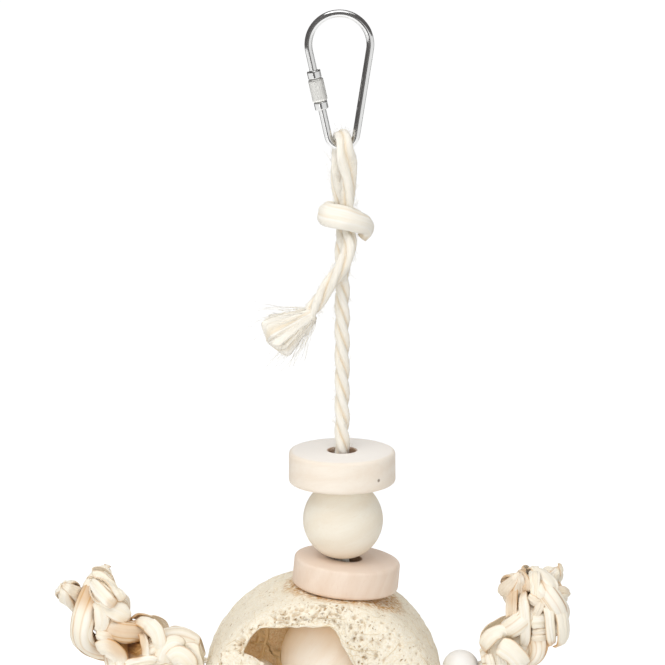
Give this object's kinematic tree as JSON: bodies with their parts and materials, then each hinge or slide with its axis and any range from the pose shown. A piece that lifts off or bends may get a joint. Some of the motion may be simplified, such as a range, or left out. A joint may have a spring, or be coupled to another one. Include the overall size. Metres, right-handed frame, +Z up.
{
  "type": "bird chew toy",
  "caption": "Hanging bird chew toy: quick link and knotted rope carrying wooden discs and balls, a hollow loofah slice with balls inside, and plaited corn-husk arms at its sides.",
  "frame": {"origin": "inside top of the quick link's bow, where the toy hangs on a cage bar or hook", "axes": "+Z up, +X to the viewer's right and +Y away from the viewer in the picture"},
  "size_m": [0.1656, 0.05, 0.3039],
  "materials": {
    "link_steel": "bright nickel plate",
    "sleeve_steel": "bright ends and a frosted grip band",
    "rope_fibre": "laid sisal, pale cream",
    "disc_wood": "sanded, bare",
    "ball_wood": "sanded, bare",
    "loofah_fibre": "dried fibre mat with open pores",
    "corn_husk": "dried ribbed leaf, orange-brown in the folds",
    "bead_white": "matt white"
  },
  "bodies": {
    "link": {"quick_link": "link_steel"},
    "sleeve": {"sleeve_nut": "sleeve_steel"},
    "rope": {"rope_loop": "rope_fibre", "rope_knot": "rope_fibre", "rope_stem": "rope_fibre", "rope_tail": "rope_fibre", "stop_knot": "rope_fibre"},
    "upper_disc": {"upper_disc": "disc_wood"},
    "upper_ball": {"upper_ball": "ball_wood"},
    "lower_disc": {"lower_disc": "disc_wood"},
    "inner_ball_upper": {"inner_ball_upper": "ball_wood"},
    "inner_ball_lower": {"inner_ball_lower": "ball_wood"},
    "bottom_disc": {"bottom_disc": "disc_wood"},
    "loofah": {"loofah_slice": "loofah_fibre", "left_anchor": "rope_fibre", "right_anchor": "rope_fibre"},
    "left_bead": {"left_bead": "bead_white"},
    "right_bead": {"right_bead": "bead_white"},
    "left_arm": {"left_cord": "rope_fibre", "left_husk_strand_1": "corn_husk", "left_husk_strand_2": "corn_husk", "left_husk_strand_3": "corn_husk", "left_husk_band": "corn_husk"},
    "right_arm": {"right_cord": "rope_fibre", "right_husk_strand_1": "corn_husk", "right_husk_strand_2": "corn_husk", "right_husk_strand_3": "corn_husk", "right_husk_band": "corn_husk"}
  },
  "joints": [
    {"name": "sleeve_slide", "type": "slide", "parent": "link", "child": "sleeve", "axis": [0.2166, 0, -0.9763], "range_m": [0, 0.0065]},
    {"name": "rope_swing", "type": "hinge", "parent": "link", "child": "rope", "pos_m": [0.0013, 0, -0.04123], "axis": [1, 0, 0], "range_deg": [-25, 25]},
    {"name": "upper_disc_spin", "type": "hinge", "parent": "rope", "child": "upper_disc", "pos_m": [0.0012, 0, -0.14531], "axis": [0, 0, 1], "continuous": true},
    {"name": "upper_ball_spin", "type": "hinge", "parent": "rope", "child": "upper_ball", "pos_m": [0.0015, 0, -0.1631], "axis": [0, 0, 1], "continuous": true},
    {"name": "lower_disc_spin", "type": "hinge", "parent": "rope", "child": "lower_disc", "pos_m": [0.0025, 0, -0.18078], "axis": [0.0837, 0, 0.9965], "continuous": true},
    {"name": "inner_ball_upper_spin", "type": "hinge", "parent": "rope", "child": "inner_ball_upper", "pos_m": [-0.00379, 0, -0.20909], "axis": [0.0837, 0, 0.9965], "continuous": true},
    {"name": "inner_ball_lower_spin", "type": "hinge", "parent": "rope", "child": "inner_ball_lower", "pos_m": [-0.00621, 0, -0.23791], "axis": [0.0837, 0, 0.9965], "continuous": true},
    {"name": "bottom_disc_spin", "type": "hinge", "parent": "rope", "child": "bottom_disc", "pos_m": [-0.00861, 0, -0.26655], "axis": [0.0837, 0, 0.9965], "continuous": true},
    {"name": "loofah_swivel", "type": "hinge", "parent": "rope", "child": "loofah", "pos_m": [-0.005, 0, -0.2235], "axis": [0.0837, 0, 0.9965], "continuous": true},
    {"name": "left_bead_spin", "type": "hinge", "parent": "loofah", "child": "left_bead", "pos_m": [-0.02611, 0, -0.21664], "axis": [-0.9511, 0, 0.309], "continuous": true},
    {"name": "left_arm_swing", "type": "hinge", "parent": "loofah", "child": "left_arm", "pos_m": [-0.04285, 0, -0.2112], "axis": [0, 1, 0], "range_deg": [-30, 30], "stiffness_Nm_per_rad": 0.015, "springref_deg": 1.49},
    {"name": "right_arm_swing", "type": "hinge", "parent": "loofah", "child": "right_arm", "pos_m": [0.04, 0, -0.21352], "axis": [0, 1, 0], "range_deg": [-30, 50], "stiffness_Nm_per_rad": 0.015, "springref_deg": -0.97},
    {"name": "right_bead_spin", "type": "hinge", "parent": "right_arm", "child": "right_bead", "pos_m": [0.04, 0, -0.21352], "axis": [0.9763, 0, 0.2164], "continuous": true}
  ]
}
